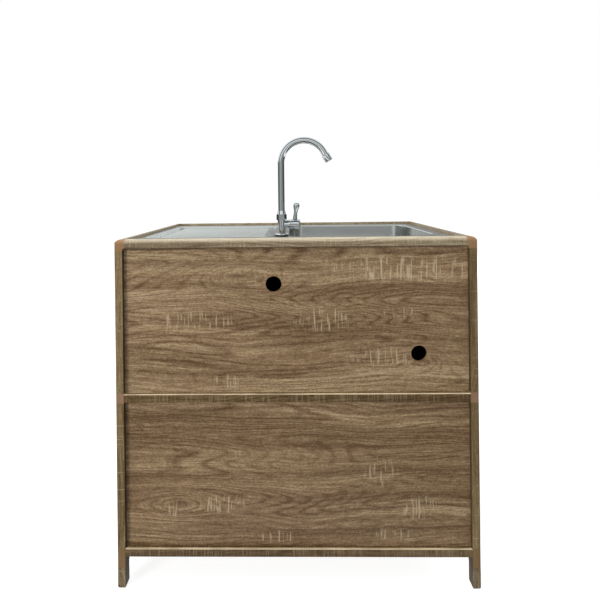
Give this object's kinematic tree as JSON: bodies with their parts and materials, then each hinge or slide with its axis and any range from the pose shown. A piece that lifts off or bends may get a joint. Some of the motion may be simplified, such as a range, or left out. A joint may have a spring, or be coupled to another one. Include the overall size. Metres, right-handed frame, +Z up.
{
  "type": "outdoor sink unit",
  "caption": "Freestanding garden sink cabinet with a tube frame, panelled sides, a pressed steel sink with drainer and a swivelling swan-neck tap.",
  "frame": {"origin": "on the floor, at the middle of the frame's footprint", "axes": "+Z up; +Y towards the rear, where the pipe holes are; +X to the right of a user who stands at the doors"},
  "size_m": [0.9, 0.55, 1.1388],
  "materials": {
    "post_profile": "extruded profile wrapped in a matt printed wood foil",
    "rail_profile": "extruded profile wrapped in a matt printed wood foil",
    "connector_plastic": "moulded tan plastic, lightly satin",
    "foot_plastic": "moulded brown plastic, matt",
    "panel_board": "board with a matt grey-brown rough-sawn oak decor",
    "door_board": "board with a matt grey-brown rough-sawn oak decor",
    "door_profile": "extruded profile wrapped in a matt printed wood foil",
    "floor_board": "board with a matt grey-brown decor",
    "bushing_plastic": "moulded black plastic",
    "sink_steel": "pressed stainless sheet, satin",
    "tap_chrome": "polished chrome plate",
    "valve_brass": "machined brass",
    "waste_steel": "stainless steel, satin",
    "waste_plastic": "moulded black plastic",
    "rubber": "black rubber"
  },
  "bodies": {
    "cabinet": {"connector_bottom_front_left": "connector_plastic", "connector_bottom_front_right": "connector_plastic", "connector_bottom_rear_left": "connector_plastic", "connector_bottom_rear_right": "connector_plastic", "connector_middle_front_left": "connector_plastic", "connector_middle_front_right": "connector_plastic", "connector_middle_rear_left": "connector_plastic", "connector_middle_rear_right": "connector_plastic", "connector_top_front_left": "connector_plastic", "connector_top_front_right": "connector_plastic", "connector_top_rear_left": "connector_plastic", "connector_top_rear_right": "connector_plastic", "door_bushings": "bushing_plastic", "door_catch": "bushing_plastic", "feet": "foot_plastic", "panel_floor": "floor_board", "panel_left_lower": "panel_board", "panel_left_upper": "panel_board", "panel_rear_lower": "panel_board", "panel_rear_upper": "panel_board", "panel_right_lower": "panel_board", "panel_right_upper": "panel_board", "post_lower_front_left": "post_profile", "post_lower_front_right": "post_profile", "post_lower_rear_left": "post_profile", "post_lower_rear_right": "post_profile", "post_upper_front_left": "post_profile", "post_upper_front_right": "post_profile", "post_upper_rear_left": "post_profile", "post_upper_rear_right": "post_profile", "rail_bottom_front": "rail_profile", "rail_bottom_left": "rail_profile", "rail_bottom_rear": "rail_profile", "rail_bottom_right": "rail_profile", "rail_middle_left": "rail_profile", "rail_middle_rear": "rail_profile", "rail_middle_right": "rail_profile", "rail_top_front": "rail_profile", "rail_top_left": "rail_profile", "rail_top_rear": "rail_profile", "rail_top_right": "rail_profile", "sink": "sink_steel", "tap_body": "tap_chrome", "tap_bonnet": "valve_brass", "tap_collar_nut": "tap_chrome", "tap_lock_nut": "valve_brass", "tap_washer": "rubber", "waste_flange": "waste_steel", "waste_nut": "waste_plastic"},
    "spout": {"tap_spout": "tap_chrome", "tap_aerator": "tap_chrome"},
    "handle": {"tap_handle": "tap_chrome", "tap_spindle": "valve_brass"},
    "door_right": {"door_right_board": "door_board", "door_right_pivot_stile": "door_profile", "door_right_pull_stile": "door_profile"},
    "door_left": {"door_left_board": "door_board", "door_left_pivot_stile": "door_profile", "door_left_pull_stile": "door_profile"},
    "strainer": {"waste_basket": "waste_steel"}
  },
  "joints": [
    {"name": "spout_swivel", "type": "hinge", "parent": "cabinet", "child": "spout", "pos_m": [0.035, 0.14, 0.917], "axis": [0, 0, 1], "continuous": true},
    {"name": "tap_handle_turn", "type": "hinge", "parent": "cabinet", "child": "handle", "pos_m": [-0.004, 0.14, 0.895], "axis": [1, 0, 0], "range_deg": [0, 90]},
    {"name": "door_right_hinge", "type": "hinge", "parent": "cabinet", "child": "door_right", "pos_m": [0.42, -0.265, 0.474], "axis": [0, 0, 1], "range_deg": [0, 90]},
    {"name": "door_left_hinge", "type": "hinge", "parent": "cabinet", "child": "door_left", "pos_m": [-0.42, -0.265, 0.474], "axis": [0, 0, -1], "range_deg": [0, 90]},
    {"name": "strainer_lift", "type": "slide", "parent": "cabinet", "child": "strainer", "axis": [0, 0, 1], "range_m": [0, 0.25]}
  ]
}
